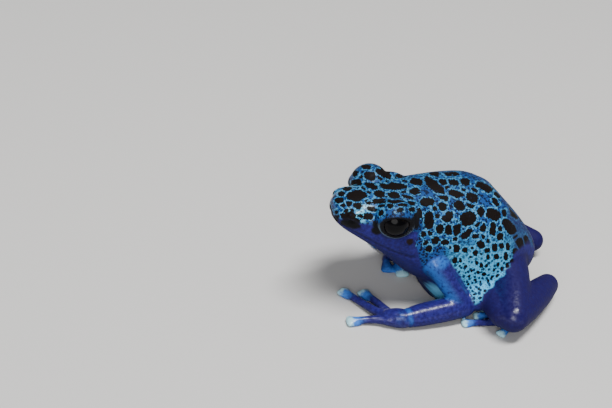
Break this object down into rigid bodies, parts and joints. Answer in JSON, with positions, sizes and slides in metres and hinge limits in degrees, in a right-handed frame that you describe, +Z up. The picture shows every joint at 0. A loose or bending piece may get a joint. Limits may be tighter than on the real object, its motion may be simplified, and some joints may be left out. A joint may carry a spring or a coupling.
{
  "type": "blue poison dart frog",
  "caption": "Life-size still model of a blue poison dart frog sitting low with its head raised, dark spots on a blue skin.",
  "frame": {"origin": "on the floor, under the middle of the frog's extent", "axes": "+Z up, the snout points along -Y, the frog's left side is +X"},
  "size_m": [0.0334, 0.0407, 0.0199],
  "materials": {
    "back_skin": "moist, satin",
    "limb_skin": "moist, satin",
    "eye": "gloss"
  },
  "bodies": {
    "root": {"head": "back_skin", "torso": "back_skin", "eye_left": "eye", "eye_right": "eye", "upper_arm_left": "limb_skin", "upper_arm_right": "limb_skin", "forearm_left": "limb_skin", "forearm_right": "limb_skin", "palm_left": "limb_skin", "palm_right": "limb_skin", "finger_1_left": "limb_skin", "finger_2_left": "limb_skin", "finger_3_left": "limb_skin", "finger_4_left": "limb_skin", "finger_1_right": "limb_skin", "finger_2_right": "limb_skin", "finger_3_right": "limb_skin", "finger_4_right": "limb_skin", "thigh_left": "limb_skin", "thigh_right": "limb_skin", "shank_left": "limb_skin", "shank_right": "limb_skin", "tarsus_left": "limb_skin", "tarsus_right": "limb_skin", "sole_left": "limb_skin", "sole_right": "limb_skin", "toe_1_left": "limb_skin", "toe_2_left": "limb_skin", "toe_3_left": "limb_skin", "toe_4_left": "limb_skin", "toe_5_left": "limb_skin", "toe_1_right": "limb_skin", "toe_2_right": "limb_skin", "toe_3_right": "limb_skin", "toe_4_right": "limb_skin", "toe_5_right": "limb_skin"}
  },
  "joints": []
}
